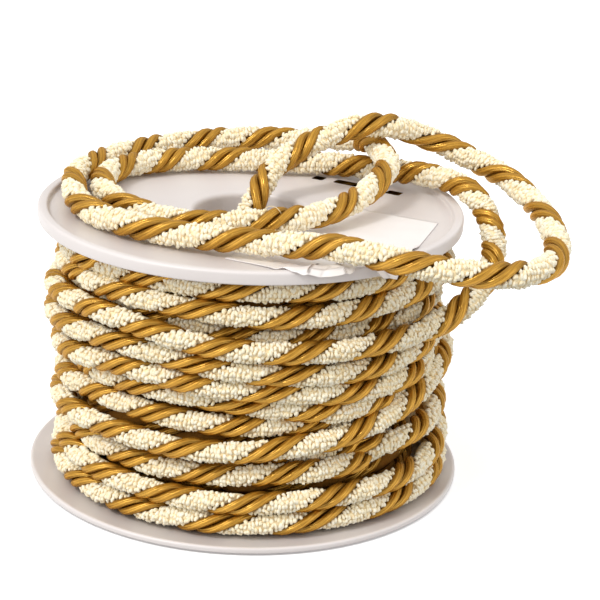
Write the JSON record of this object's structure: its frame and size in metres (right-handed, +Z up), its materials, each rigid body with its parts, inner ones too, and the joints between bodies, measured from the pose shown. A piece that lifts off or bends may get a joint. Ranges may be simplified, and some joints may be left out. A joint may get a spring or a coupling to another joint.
{
  "type": "upholstery cord on a flanged spool",
  "caption": "Twisted gold and cream upholstery cord wound on a plain flanged spool, its loose end laid in rings on the top flange and hanging into the bore.",
  "frame": {"origin": "centre of the spool's underside, on its axis", "axes": "+Z up along the spool's axis; the picture looks along +Y, with +X to the right"},
  "size_m": [0.1491, 0.1266, 0.1007],
  "materials": {
    "spool_plastic": "moulded, satin",
    "cord": "twisted satin gold and looped cream yarn",
    "gold_ply": "satin viscose, twisted",
    "cream_ply": "looped yarn, matt",
    "label_paper": "bare white paper, creased"
  },
  "bodies": {
    "root": {"lower_flange": "spool_plastic", "hub_tube": "spool_plastic", "upper_flange": "spool_plastic", "wound_cord": "cord", "loose_cord": "cord", "paper_label": "label_paper"}
  },
  "joints": []
}
